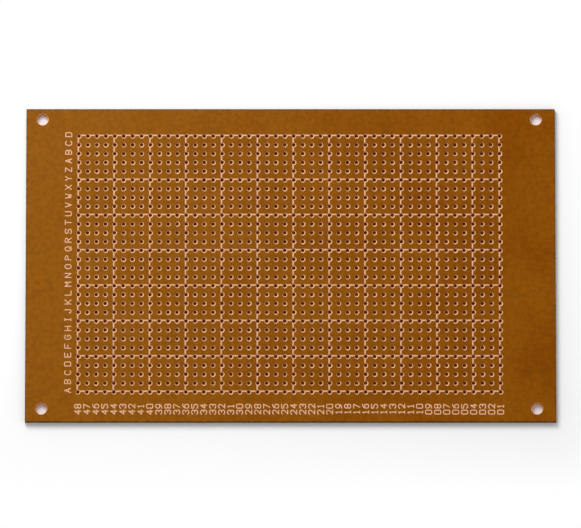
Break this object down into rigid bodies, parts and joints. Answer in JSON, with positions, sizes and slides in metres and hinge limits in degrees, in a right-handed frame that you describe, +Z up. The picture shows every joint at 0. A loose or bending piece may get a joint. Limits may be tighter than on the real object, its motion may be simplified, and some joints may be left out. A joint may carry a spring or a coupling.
{
  "type": "prototype board",
  "caption": "Flat rectangular phenolic sheet punched with a square field of lead holes, with copper pads beneath, a printed grid on top and a screw hole in each corner.",
  "frame": {"origin": "middle of the sheet's outline, on the plane of the copper pads' lower faces", "axes": "+X along the rows of holes, towards column 01; +Y across the rows, from row A up the picture; +Z up out of the component side"},
  "size_m": [0.15, 0.09, 0.0017],
  "materials": {
    "phenolic": "satin",
    "copper": "satin",
    "ink": "matte"
  },
  "bodies": {
    "root": {"laminate_board": "phenolic", "copper_pads": "copper", "corner_pads": "copper", "printed_grid": "ink"}
  },
  "joints": []
}
